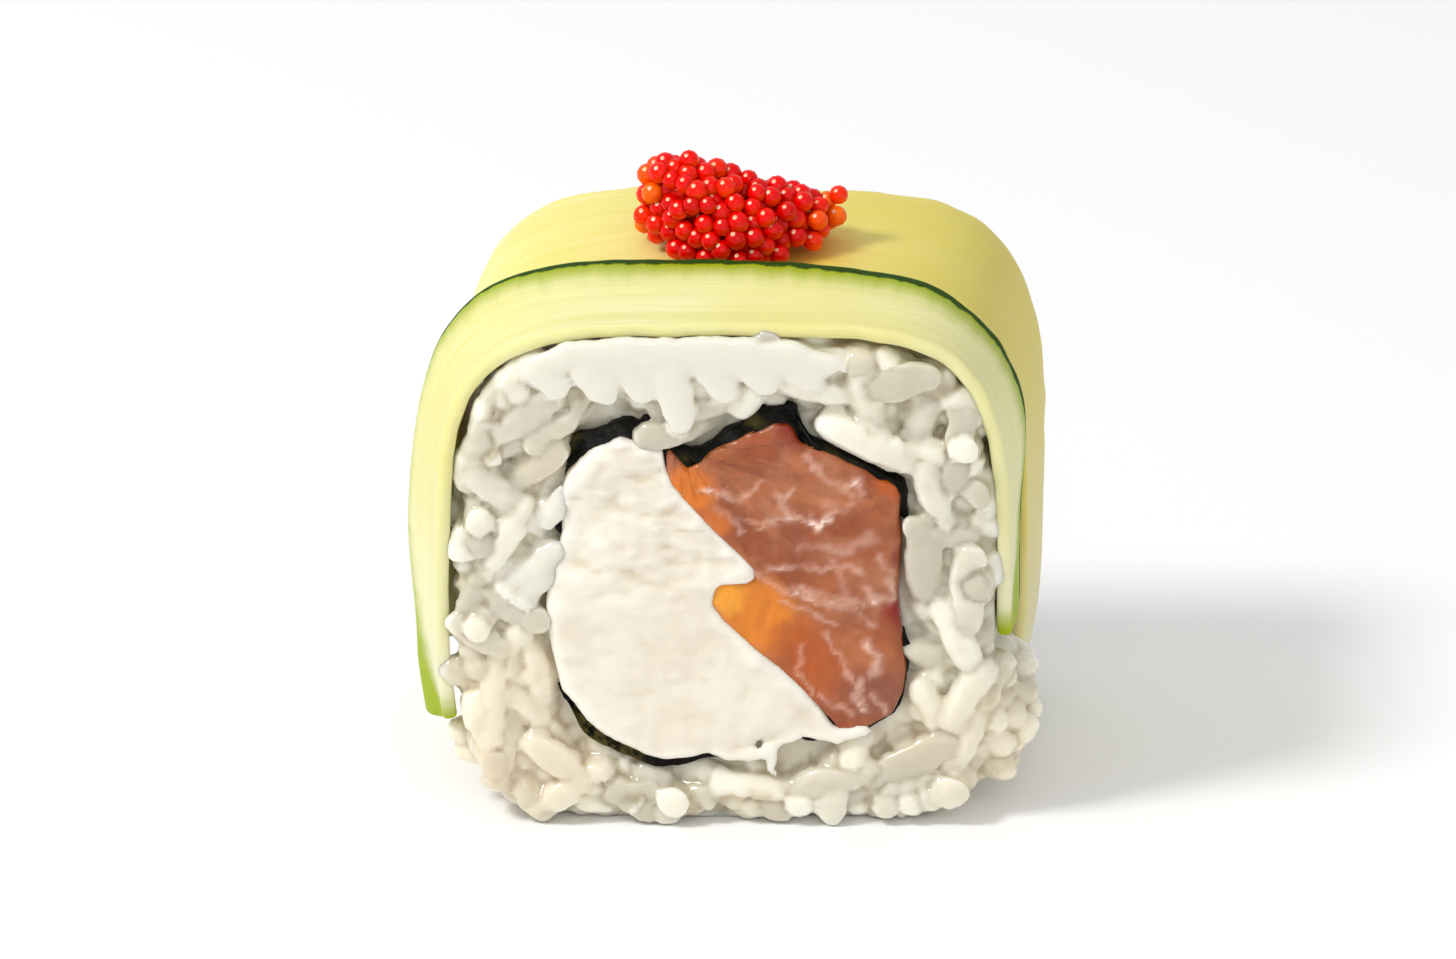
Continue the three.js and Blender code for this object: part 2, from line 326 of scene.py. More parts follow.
# Copies of small shapes joined into one mesh. Each copy is (shape, 3 by 3 matrix, place, tone).
def joinedCopies(name, shapes, copies):
    points, faces, tones = [], [], []
    start = 0
    for index, matrix, spot, tone in copies:
        shapePoints, shapeFaces = shapes[index]
        points.append(shapePoints @ np.array(matrix).T + np.array(spot))
        faces.extend(tuple(start + i for i in face) for face in shapeFaces)
        tones.append(np.full(len(shapePoints), tone))
        start += len(shapePoints)
    mesh = bpy.data.meshes.new(name)
    mesh.from_pydata(np.concatenate(points).tolist(), [], faces)
    mark(mesh, "tone", np.concatenate(tones))
    mesh.update()
    return mesh


def shapeFrom(bm):
    bm.verts.index_update()
    shape = np.array([v.co[:] for v in bm.verts]), [[v.index for v in f.verts] for f in bm.faces]
    bm.free()
    return shape


# Draws until too many draws miss. A draw is a spot with what goes with it, or None, and it misses
# where its spot lies too near another.
def scattered(draw, spacing, tries, spots):
    misses = 0
    while misses < tries:
        drawn = draw()
        if drawn and all((drawn[0] - spot).length_squared > spacing * spacing for spot in spots):
            spots.append(drawn[0])
            yield drawn
        else:
            misses += 1


# How far behind the seen face each smear's middle lies, and its points of (x, z, radius).
smears = {
    "onRice": [
        # under the front strip, with teeth that hang down
        (-0.5, [(-14, 34.4, 0.7), (-11.5, 34.9, 1.2), (-8, 35, 1.4), (-4, 35, 1.4),
                (0, 35, 1.4), (3.4, 34.9, 1.2), (6.3, 34.5, 0.8)]),
        (-0.6, [(-13.6, 34, 1), (-12.4, 32.9, 1)]),
        (-0.7, [(-10.6, 34.2, 1.1), (-9.4, 32.9, 1.1), (-8.9, 32.2, 0.8)]),
        (-0.6, [(-7.4, 34, 1), (-6.6, 32.6, 1)]),
        (-0.8, [(-4.9, 34, 1.2), (-4.3, 32.2, 1.3), (-3.9, 30.4, 0.9)]),
        (-0.6, [(-1.8, 34, 1.1), (-1, 32.6, 1)]),
        (-0.7, [(1, 34.2, 1.1), (1.8, 33.2, 0.9)]),
        (-0.6, [(3.8, 34, 1), (4.8, 33.4, 0.9)]),
        # over the nori on the left
        (0, [(-12, 24.9, 0.6), (-12.6, 23.4, 0.8), (-13, 22.4, 0.5)]),
        (0.1, [(-12.6, 20.4, 0.8), (-13.7, 19.3, 1.1), (-15.4, 18.2, 0.7)]),
        (0.1, [(-13.2, 18.6, 0.9), (-14.2, 17.6, 0.8), (-14.6, 16.8, 0.5)]),
    ],
    "onCheese": [
        (-0.2, [(-1.6, 5.7, 0.3), (0.4, 5.6, 0.5), (1.9, 5.6, 0.5), (2.3, 4.9, 0.42),
                (2.1, 4.2, 0.34), (2.4, 3.7, 0.3)]),
        (-0.1, [(2.4, 5.9, 0.4), (4.4, 6.5, 0.35), (6.6, 6.6, 0.6), (8.4, 7.3, 0.5)]),
    ],
    "spacing": 0.5,
    "swell": (0.9, 1.1),
    "sway": 0.1,
    "flatness": 0.62,
    "tone": 1.5,
    "seed": 3,
}


def addSmears(bm, lines):
    dice = random.Random(smears["seed"])
    sway = smears["sway"]
    spots = []
    for depth, line in lines:
        for (x0, z0, r0), (x1, z1, r1) in zip(line, line[1:]):
            steps = max(2, round(hypot(x1 - x0, z1 - z0) / smears["spacing"]))
            for i in range(steps + 1):
                t = i / steps
                size = (r0 + (r1 - r0) * t) * dice.uniform(*smears["swell"])
                z = z0 + (z1 - z0) * t + dice.uniform(-sway, sway)
                spot = place(x0 + (x1 - x0) * t, depth, z)
                halves = Vector((size, size * smears["flatness"], size, 1 / mm)) * mm
                matrix = Matrix.Translation(spot) @ Matrix.Diagonal(halves)
                bmesh.ops.create_icosphere(bm, subdivisions=3, radius=1, matrix=matrix)
                spots.append(spot)
    return spots


rice = {
    "halfLength": 3.7,
    "halfWidth": 1.5,
    "halfThickness": 1.3,
    "fullness": 0.72,  # below 1 the ends are blunter than an ellipsoid's
    "variants": 16,
    "segments": (9, 8),
    "bend": (0.05, 0.35),
    "dent": 0.18,
    "taper": 0.14,
    "bumps": 0.10,
    # Shares that one grain's size, width and thickness are drawn from.
    "sizes": (0.86, 1.1),
    "widths": (0.92, 1.08),
    "thicknesses": (0.9, 1.08),
    "roll": 0.6,
    # Misses after which a layer is full.
    "tries": {"face": 900, "side": 1500, "foot": 900, "lump": 200},
    # Spacing, then the least and most that the grains stand out from the surface.
    "faceLayers": [(1.9, -0.5, 0.35), (2.6, 0.4, 1.2)],
    "sideLayers": [(2.2, -0.7, -0.3), (2.9, -0.25, 0.15)],
    "footLayers": [(2.5, -0.3, -0.1), (3.6, -0.15, -0.02)],
    "underStrip": -0.5,  # the most that grains stand out where a strip lies on them
    # Centre and half sizes of heaps squeezed out at the foot.
    "lumps": [((16.2, 4.35, 7.0), (3.2, 3.5, 5.8)), ((-16.4, 4.0, 4.6), (2.3, 3.0, 3.0))],
    "lumpLayers": [(1.9, -0.7, -0.4), (3.1, -0.15, 0.15)],
    # Grains that show singly on the seen face: x, z, turn from level, length, stand-out.
    "placed": [
        (7.6, 34.7, -2, 0.9, 0.6), (12.6, 34.3, -12, 0.8, 0.5), (15.2, 32.7, -48, 0.9, 0.6),
        (-15.7, 32.7, 45, 0.9, 1), (-17.5, 30.2, 74, 0.8, 1), (10.9, 33.2, 12, 0.72, 1.5),
        (16.7, 29.2, 84, 0.95, 1.3), (9, 28.4, -27, 1.1, 1.2),
        (13.1, 24.6, -70, 0.9, 0.9), (12.6, 19.8, 86, 1, 0.9), (-14.6, 30.6, 35, 0.8, 1.1),
        (-18.2, 27.2, 70, 0.75, 1), (-16.2, 21, 62, 1.1, 0.8), (-14.9, 14.2, 78, 1.1, 0.7),
        (-16.9, 9.2, 84, 1.1, 0.9), (-12, 4.4, -38, 1.1, 1), (-6, 1.9, -12, 1.1, 0.9),
        (1.4, 2.3, -14, 1, 1), (6.4, 3.2, 16, 1, 1.1), (11.6, 4.6, 28, 1.05, 1),
        (15.6, 9.6, 60, 0.9, 1.1), (14.6, 14.4, -60, 0.9, 0.9)],
    "noriClearance": 0.5,
    "footSpan": (-15, 13.5),
    "edgeMargin": {"side": 1.4, "foot": 1.6},  # from the cut faces
    "snug": 0.85,  # share of its reach by which a grain keeps off the nori
    "shortest": 0.6,  # share of a grain that is left where it is broken
    "wallReach": 0.6,
    "stripMargin": 3,
    "coreDepth": 1.0,
    "voxel": 0.26,
    "share": 0.68,  # of the faces that stay after the fusing
    # The least and most that a cut grain stands out, and the share of the rest that is cut away.
    "cut": (0.3, 0.85),
    "cutAway": 0.7,
    "seamWidth": 0.45,
    "seamDepth": 0.09,
    "pitWidth": 0.5,
    "pitDepth": 0.2,
    "seed": 11,
}


def grainShape(dice):
    bm = bmesh.new()
    around, lengthways = rice["segments"]
    bmesh.ops.create_uvsphere(bm, u_segments=around, v_segments=lengthways, radius=1)
    bend = dice.uniform(*rice["bend"])
    dent = dice.uniform(0, rice["dent"])
    taper = dice.uniform(-rice["taper"], rice["taper"])
    seedPoint = Vector((dice.uniform(0, 90), 0, 0))
    for v in bm.verts:
        x, z, y = v.co
        girth = hypot(x, z)
        fuller = girth ** (rice["fullness"] - 1) if girth > 0.01 else 1
        fuller *= 1 + taper * y
        x *= fuller
        z *= fuller
        x *= 1 - dent * max(0, 1 - abs(z) * 2) * (1 - y * y) * (1 if x > 0 else 0)
        lump = 1 + rice["bumps"] * noise.noise(Vector((x, y * 1.6, z)) * 1.3 + seedPoint)
        v.co = Vector((
            rice["halfWidth"] * x * lump + bend * y * y,
            rice["halfLength"] * y,
            rice["halfThickness"] * z * lump,
        )) * mm
    bmesh.ops.recalc_face_normals(bm, faces=bm.faces)
    return shapeFrom(bm)


# Half the reach of a grain along an outward direction.
def grainReach(axes, outward, size):
    halves = (rice["halfWidth"], rice["halfLength"], rice["halfThickness"])
    return size * sqrt(sum((h * abs(axis.dot(outward))) ** 2 for h, axis in zip(halves, axes)))


# Axes of a grain that lies along a direction on a surface, a little rolled.
def grainAxes(along, outward, dice):
    along = along.normalized()
    side = along.cross(outward).normalized()
    outwards = side.cross(along).normalized()
    rolled = dice.uniform(-rice["roll"], rice["roll"])
    side, outwards = (
        side * cos(rolled) + outwards * sin(rolled),
        outwards * cos(rolled) - side * sin(rolled),
    )
    return side, along, outwards


# A grain whose outermost point stands out by a given amount from a surface point.
def grainOn(point, outward, along, standOut, dice, length=1):
    size = dice.uniform(*rice["sizes"])
    axes = grainAxes(along, outward, dice)
    centre = point + outward * (standOut - grainReach(axes, outward, size))
    centre.z = max(centre.z, grainReach(axes, Vector((0, 0, 1)), size))
    width = size * dice.uniform(*rice["widths"])
    stretch = (width, size * length, size * dice.uniform(*rice["thicknesses"]))
    matrix = [[axes[c][r] * stretch[c] for c in range(3)] for r in range(3)]
    return [dice.randrange(rice["variants"]), matrix, centre, dice.random()]


# Moves a grain, or breaks a piece off it, until it reaches neither past the section's outline nor
# over the nori.
def keepBetween(grain, margin):
    centre = Vector(roll["centre"])
    angle = atan2(grain[2].z - centre.y, grain[2].x - centre.x)
    heading = Vector((cos(angle), 0, sin(angle)))
    columns = [Vector([row[c] for row in grain[1]]) for c in range(3)]
    reach = grainReach(columns, heading, 1)
    run = (grain[2].xz - centre).length
    outer = sectionReach(roll, angle) - margin
    inner = sectionReach(sleeve, angle, noriOffset("outer", angle), roll["centre"])
    broken = min(max((outer - inner) / (2 * rice["snug"] * reach), rice["shortest"]), 1)
    grain[1] = [[value * broken for value in row] for row in grain[1]]
    reach *= broken
    moved = min(max(run, inner + rice["snug"] * reach), outer - reach)
    grain[2] += heading * (moved - run)
    return grain


# Grains are (shape, matrix, centre in section millimetres, tone). outwards is -1 at the seen face.
def faceGrains(layer, faceDepth, outwards, dice):
    spacing, least, most = layer
    spots = []
    outward = Vector((0, outwards, 0))
    if outwards < 0 and least > 0:
        for x, z, turn, length, standOut in rice["placed"]:
            turn = radians(turn)
            along = Vector((cos(turn), dice.uniform(-0.1, 0.1), sin(turn)))
            spots.append(Vector((x, z, 0)))
            grain = grainOn(Vector((x, faceDepth, z)), outward, along, standOut, dice, length)
            yield keepBetween(grain, 0)

    def draw():
        angle = dice.uniform(0, 2 * pi)
        inner = Vector(sectionPoint(sleeve, angle)).to_3d()
        outer = Vector(sectionPoint(roll, angle)).to_3d()
        wall = (outer - inner).length
        margin = (rice["noriClearance"] + rice["halfWidth"] * 0.8) / wall
        share = margin + (1 - margin - 1 / wall) * dice.random() ** 0.8
        edge = min(share - margin, 1 - share) * wall
        return inner.lerp(outer, share), angle, outer, edge

    # The nearer to an edge of the ring a grain lies, the more it runs along that edge.
    for spot, angle, outer, edge in scattered(draw, spacing, rice["tries"]["face"], spots):
        run = (Vector(sectionPoint(roll, angle + 0.05)).to_3d() - outer).normalized()
        freedom = 0.35 + min(edge / 2.5, 1) * 1.1
        along = Matrix.Rotation(dice.uniform(-freedom, freedom), 3, "Z") @ run
        along = Vector((along.x, dice.uniform(-0.3, 0.3), along.y))
        point = Vector((spot.x, faceDepth, spot.y))
        standOut = dice.uniform(least, most) - (0.4 if edge < 0.8 else 0)
        grain = grainOn(point, outward, along, standOut, dice)
        yield keepBetween(grain, 0.25 if outwards < 0 else 0.4)


# Grains round the outside.
def sideGrains(layer, dice):
    spacing, least, most = layer
    margin = rice["edgeMargin"]["side"]

    def draw():
        angle = radians(dice.uniform(-180, 180))
        depth = dice.uniform(margin, roll["depth"] - margin)
        x, z = sectionPoint(roll, angle)
        return (Vector((x, depth, z)), angle, x, depth, z) if z >= 1 else None

    for spot, angle, x, depth, z in scattered(draw, spacing, rice["tries"]["side"], []):
        x1, z1 = sectionPoint(roll, angle + 0.02)
        run = Vector((x1 - x, 0, z1 - z)).normalized()
        outward = Vector((run.z, 0, -run.x))
        along = run * dice.uniform(-1, 1) + Vector((0, dice.uniform(-1, 1), 0))
        standOut = dice.uniform(least, most)
        if underStrips(degrees(angle), depth, z):
            standOut = min(standOut, rice["underStrip"])
        yield grainOn(spot, outward, along, standOut, dice)


# Grains pressed flat under the piece.
def footGrains(layer, dice):
    spacing, least, most = layer
    margin = rice["edgeMargin"]["foot"]

    def draw():
        x = dice.uniform(*rice["footSpan"])
        return (Vector((x, dice.uniform(margin, roll["depth"] - margin), 0)),)

    for spot, in scattered(draw, spacing, rice["tries"]["foot"], []):
        turn = dice.uniform(0, pi)
        along = Vector((cos(turn), sin(turn), 0))
        yield grainOn(spot, Vector((0, 0, -1)), along, dice.uniform(least, most), dice)


# Grains squeezed out at the foot.
def lumpGrains(lump, layer, dice):
    centre, halves = lump
    spacing, least, most = layer

    def anyWay():
        return Vector([dice.gauss(0, 1) for _ in range(3)])

    def draw():
        outward = anyWay().normalized()
        return Vector([c + h * o for c, h, o in zip(centre, halves, outward)]), outward

    for point, outward in scattered(draw, spacing, rice["tries"]["lump"], []):
        along = anyWay()
        along -= outward * along.dot(outward)
        yield grainOn(point, outward, along, dice.uniform(least, most), dice)


def grainLayer(index, dice):
    faceLayer = rice["faceLayers"][index]
    made = list(faceGrains(faceLayer, 0, -1, dice))
    made += faceGrains(faceLayer, roll["depth"], 1, dice)
    made += sideGrains(rice["sideLayers"][index], dice)
    made += footGrains(rice["footLayers"][index], dice)
    for lump in rice["lumps"]:
        made += lumpGrains(lump, rice["lumpLayers"][index], dice)
    return made


def ringOf(bm, outline, depth, segments):
    made = bmesh.ops.create_circle(bm, cap_ends=False, radius=1, segments=segments)["verts"]
    for i, v in enumerate(made):
        x, z = outline(2 * pi * i / segments)
        v.co = place(x, depth, z)
    return list({e for v in made for e in v.link_edges})


# A closed wall between an outer and an inner outline, from one depth to another.
def sleeveMesh(outer, inner, depths, segments):
    bm = bmesh.new()
    walls = [[ringOf(bm, side, depth, segments) for depth in depths] for side in (outer, inner)]
    for rings in walls:
        for near, far in zip(rings, rings[1:]):
            bmesh.ops.bridge_loops(bm, edges=near + far)
    for end in (0, -1):
        bmesh.ops.bridge_loops(bm, edges=walls[0][end] + walls[1][end])
    bmesh.ops.recalc_face_normals(bm, faces=bm.faces)
    return bm


def evenly(low, high, count):
    return [low + (high - low) * i / (count - 1) for i in range(count)]


# Sets off the grains in the fused skin. Sources are (place, grain number, tone). Each grain's top
# is cut flat at its own height, seams between grains are grooves, and where three meet is a pit.
def setOffGrains(obj, sources):
    mesh = obj.data
    tree = KDTree(len(sources))
    for i, (spot, _, _) in enumerate(sources):
        tree.insert(spot, i)
    tree.balance()
    tones, seams, pits = np.zeros((3, len(mesh.vertices)))
    points = rows(mesh)
    outwards = rows(mesh, "normal")
    for n, v in enumerate(mesh.vertices):
        hits = tree.find_n(v.co, 9)
        tones[n] = sources[hits[0][1]][2]
        reach = {}
        for _, i, gap in hits:
            reach.setdefault(sources[i][1], gap / mm)
        gaps = sorted(reach.values()) + [9, 9]
        seams[n] = smoothStep((gaps[1] - gaps[0]) / rice["seamWidth"])
        pits[n] = smoothStep((gaps[2] - gaps[0]) / rice["pitWidth"])
    half = roll["depth"] / 2
    proud = np.abs(points[:, 1] / mm - shift.y) - half
    least, most = rice["cut"]
    limit = least + (most - least) * np.minimum(tones, 1.1)
    cut = np.where(proud > limit, (proud - limit) * rice["cutAway"], 0)
    points[:, 1] -= np.sign(points[:, 1]) * cut * mm
    sunk = rice["seamDepth"] * (1 - seams) + rice["pitDepth"] * (1 - pits)
    inner = np.array([v.co.z > 5 * mm and innerWall(v) for v in mesh.vertices])
    points -= outwards * np.where(inner, 0, sunk)[:, None] * mm
    points[:, 2] = np.maximum(points[:, 2], 0)
    setRows(mesh, points)
    for name, values in (("tone", tones), ("seam", seams), ("pit", pits)):
        mark(mesh, name, averaged(mesh, values[:, None], 1)[:, 0])


# Whether a point lies on the wall round the nori.
def innerWall(v):
    depth = v.co.y / mm + roll["depth"] / 2 - shift.y
    x = v.co.x / mm - shift.x - roll["skew"] * depth - sleeve["centre"][0]
    up = v.co.z / mm - sleeve["centre"][1]
    wall = sectionReach(sleeve, atan2(up, x), rice["wallReach"])
    return hypot(x, up) < wall and 1 < depth < roll["depth"] - 1


# Values of a mesh's points, averaged with their neighbours a few times.
def averaged(mesh, values, rounds):
    ends = np.empty(len(mesh.edges) * 2, dtype=np.int64)
    mesh.edges.foreach_get("vertices", ends)
    a, b = ends.reshape(-1, 2).T
    count = np.bincount(a, minlength=len(values)) + np.bincount(b, minlength=len(values))
    for _ in range(rounds):
        total = values.copy()
        for column in range(values.shape[1]):
            total[:, column] += np.bincount(a, values[b, column], len(values))
            total[:, column] += np.bincount(b, values[a, column], len(values))
        values = total / (count + 1)[:, None]
    return values


# How far each point lies above its surroundings, in millimetres, as an attribute.
def markHeight(mesh, rounds):
    points = rows(mesh)
    away = points - averaged(mesh, points, rounds)
    mark(mesh, "height", (away * rows(mesh, "normal")).sum(axis=1) / mm)


# Fuses what overlaps in a mesh into one even skin, and keeps a share of its faces.
def fused(obj, voxel, softening, share=1):
    even = obj.modifiers.new("even", "REMESH")
    even.mode = "VOXEL"
    even.voxel_size = voxel * mm
    soft = obj.modifiers.new("soft", "SMOOTH")
    soft.factor = 0.4
    soft.iterations = softening
    if share < 1:
        fewer = obj.modifiers.new("fewer", "DECIMATE")
        fewer.ratio = share
    return applied(obj)


def makeRice():
    dice = random.Random(rice["seed"])
    shapes = [grainShape(dice) for _ in range(rice["variants"])]
    grains = grainLayer(0, dice) + grainLayer(1, dice)
    copies = [(i, m, place(*spot), tone) for i, m, spot, tone in grains]
    inset = rice["coreDepth"]
    core = sleeveMesh(
        lambda a: sectionPoint(roll, a, -inset if sin(a) < -0.8 else -0.55),
        lambda a: sectionPoint(sleeve, a, riceWall(a)),
        evenly(inset, roll["depth"] - inset, 24),
        120,
    )
    core.from_mesh(joinedCopies("grains", shapes, copies))
    smeared = addSmears(core, smears["onRice"])
    obj = fused(objectFrom("rice_grains", core), rice["voxel"], 1, rice["share"])
    sources = [
        (place(*(spot + Vector((m[0][1], m[1][1], m[2][1])) * end)), number, tone)
        for number, (_, m, spot, tone) in enumerate(grains)
        for end in (-2.5, -1.25, 0, 1.25, 2.5)
    ]
    sources += [(spot, -1, smears["tone"]) for spot in smeared]
    setOffGrains(obj, sources)
    markHeight(obj.data, 24)
    print(len(grains), "grains")
    return obj


def ricePaint():
    paint = Paint("cooked rice")
    where = paint.where()
    tone, height, seam, pit = map(paint.attribute, ("tone", "height", "seam", "pit"))
    cloud = paint.noise(where, 520)
    # milky mixes the grains' own tone with painted light: raised points are painted lighter.
    milky = (cloud * 0.5 + tone * 0.75 + height * 0.2).between(0.3, 1.1)
    # Painted highlight: raised crests are painted near white.
    paintedCrestLight = height.between(0.15, 0.6) * cloud.between(0.4, 0.6)
    # A random warm tint, plus painted shade: the lower left is painted in a warm shaded tone.
    warmTintAndShade = paint.noise(where, 70, 2).between(0.5, 0.75) + paint.near(-15.5, 7, 7)
    colour = paint.layered(
        (198, 192, 173),
        (milky, 240, 236, 219),
        # Painted shade: hollows are painted darker.
        ((1 - height.between(-0.5, 0)) * 0.3, 206, 197, 168),
        # Painted shade: the seams between grains are painted darker.
        ((1 - seam.between(0, 0.8)) * 0.22, 204, 196, 170),
        # Painted shade: the pits where grains meet are painted dark tan.
        ((1 - pit.between(0, 0.7)) * 0.6, 178, 160, 120),
        # Painted highlight on the raised crests.
        (paintedCrestLight * 0.8, 253, 251, 240),
        # Random warm tint, with painted shade on the lower left.
        (warmTintAndShade.clamped() * 0.4, 234, 214, 180),
        (tone.between(0.95, 1.4), 228, 224, 210),
    )
    return paint.finish(
        colour,
        paint.noise(where, 500, 2).between(0.1, 0.9) * 0.18 + 0.14,
        (paint.noise(where, 1100), 0.2, 0.0002),
        (0.9, (1, 0.95, 0.85), 0.0016),
        {"Coat Weight": 0.45, "Coat Roughness": 0.12},
    )


# Edges are depths behind the seen face, and lifts are heights over the rice's outline. green and
# skinFrom are shares of the width at which the green under the skin shows and the skin begins.
frontStrip = {
    "frontEdge": [(180, -0.25)],
    "rearEdge": [(120, 7.55), (60, 7.15)],
    "frontLift": [(208, 0.3), (172, 0.5), (60, 0.5), (10, 0.1)],
    "rearLift": [(208, 1.9), (196, 2.2), (172, 2.9), (137, 2.35), (90, 2.1),
                 (60, 1.5), (45, 1), (30, 1.1), (10, 0.3)],
    "rise": 0.75,
    "droop": 0,
    "leftEnd": 7.2,
    "rightEnd": 13.4,
    "taper": 1.7,
    "lengthSteps": 150,
    "widthSteps": 16,
    "paint": "cucumber with skin",
    "flesh": (220, 217, 142),
    "pale": (236, 233, 186),
    "deepen": 0.1,
    "roeReflectionShare": 0,
    "green": (0.5, 0.86),
    "skinFrom": 0.83,
}
rearStrip = {
    "frontEdge": [(128, 5.85), (104, 7.75)],
    "rearEdge": [(180, 23.75)],
    "frontLift": [(120, 0.6)],
    "rearLift": [(120, 1), (60, 0.6), (20, 0.9)],
    "rise": 1,
    "droop": 0.2,
    "leftEnd": 11,
    "rightEnd": 2.4,
    "taper": 1,
    "lengthSteps": 140,
    "widthSteps": 28,
    "paint": "cucumber",
    "flesh": (234, 222, 118),
    "pale": (244, 236, 160),
    "deepen": 0.8,
    "roeReflectionShare": 0.8,
    "green": (1.4, 1.6),
    "skinFrom": 1.8,
}
strips = {"thickness": 1.1, "wallShare": 0.92, "waver": 0.12, "jag": 0.13, "jagHeight": 0.14}


# A strip's middle surface: points by share of its length and of its width.
class Drape:
    def __init__(self, spec):
        self.spec = spec
        self.lines = {}
        left = self.bearingOf(spec["leftEnd"], -1) % (2 * pi)
        right = self.bearingOf(spec["rightEnd"], 1)
        self.angles = evenly(left, right, 241)

    def bearingOf(self, height, side):
        return atan2(height - roll["centre"][1], side * roll["halfWidth"])

    def lineAt(self, lift, share):
        key = round(lift, 2)
        if key not in self.lines:
            points = np.array([sectionPoint(roll, a, key) for a in self.angles])
            steps = np.hypot(*np.diff(points, axis=0).T)
            run = np.concatenate([[0], np.cumsum(steps)])
            self.lines[key] = run / run[-1], points
        run, points = self.lines[key]
        return np.interp(share, run, points[:, 0]), np.interp(share, run, points[:, 1])

    def point(self, share, across):
        spec = self.spec
        x, z = self.lineAt(0, share)
        angle = atan2(z - roll["centre"][1], x - roll["centre"][0])
        bearing = (degrees(angle) + 90) % 360 - 90
        front = atBearing(spec["frontLift"], bearing)
        rear = atBearing(spec["rearLift"], bearing)
        lift = front + (rear - front) * smoothStep(across / spec["rise"])
        lift -= spec["droop"] * smoothStep(4 * across - 3)
        x, z = self.lineAt(lift, share)
        drawIn = spec["taper"] * abs(2 * share - 1) ** 5
        near = atBearing(spec["frontEdge"], bearing) + drawIn
        far = atBearing(spec["rearEdge"], bearing) - drawIn
        return x, near + (far - near) * across, z


def makeStrip(name, spec):
    drape = Drape(spec)
    bm = bmesh.new()
    bm.loops.layers.uv.new("strip")
    bmesh.ops.create_grid(
        bm, x_segments=spec["lengthSteps"], y_segments=spec["widthSteps"], size=1, calc_uvs=True
    )
    for v in bm.verts:
        share = (v.co.x + 1) / 2
        across = (v.co.y + 1) / 2
        x, depth, z = drape.point(share, across)
        edge = abs(2 * across - 1) ** 6
        waver = noise.noise(Vector((share * 9, across * 1.5, spec["leftEnd"])))
        jag = noise.noise(Vector((share * 55, across, spec["rightEnd"])))
        v.co = place(x, depth + edge * (strips["waver"] * waver + strips["jag"] * jag), z)
        outward = Vector((x - roll["centre"][0], 0, z - roll["centre"][1])).normalized()
        v.co += outward * (waver * strips["waver"] + jag * edge * strips["jagHeight"]) * mm
    bmesh.ops.recalc_face_normals(bm, faces=bm.faces)
    obj = objectFrom(name, bm)
    wall = obj.modifiers.new("wall", "SOLIDIFY")
    wall.thickness = strips["thickness"] * mm * strips["wallShare"]
    wall.offset = 0
    wall.use_even_offset = True
    rounded = obj.modifiers.new("rounded", "SUBSURF")
    rounded.levels = rounded.render_levels = 1
    return obj


def cucumberPaint(spec):
    paint = Paint(spec["paint"])
    uv = paint.uv()
    along, axis, _ = paint.parts(uv)

    def streaks(lengthways, across, detail=3, roughness=0.5):
        stretched = paint.add("Mapping", {}, {"Vector": uv, "Scale": (lengthways, across, 1)})
        return paint.noise(stretched, 1, detail, roughness)

    bands, fibres, fine = streaks(2.5, 9), streaks(5, 60, 4, 0.6), streaks(12, 190, 3, 0.6)
    waver, jag = streaks(26, 1), streaks(80, 1)
    broad = paint.noise(paint.where(), 90, 2)
    streaked = (fibres * 0.4 + fine * 0.15 + bands * 0.45).between(0.3, 0.7)
    # Painted reflection: an orange tint from the roe on the strip beneath it, as strong as the
    # strip's share says.
    paintedRoeReflection = paint.near(3.4, 38, 3.6, 12.6) * broad.between(0.25, 0.55)
    ends = ((along - 0.5) * 2) ** 4
    across = axis + (waver - 0.5) * 0.14 + (jag - 0.5) * 0.16 + (along - 0.5) * 0.06
    skin = across.between(spec["skinFrom"], spec["skinFrom"] + 0.05)
    colour = paint.layered(
        spec["flesh"],
        (streaked, *spec["pale"]),
        (broad.between(0.4, 0.7) * 0.35, 224, 210, 108),
        (along.between(0.3, 0.75) * spec["deepen"], 206, 186, 62),
        ((ends * 1.4).clamped() * 0.75, 232, 230, 204),
        # Painted reflection of the roe.
        (paintedRoeReflection * spec["roeReflectionShare"], 224, 172, 40),
        ((across + ends * ends * 0.9).between(*spec["green"]), 156, 174, 0),
        (skin, 34, 66, 0),
    )
    return paint.finish(
        colour,
        fine * 0.2 + skin * 0.3 + 0.35,
        (fibres * 0.6 + fine * 0.4 + bands * 0.6, 0.3, 0.0003),
        (0.45, (1, 0.9, 0.45), 0.001),
        {"Specular IOR Level": 0.2},
    )


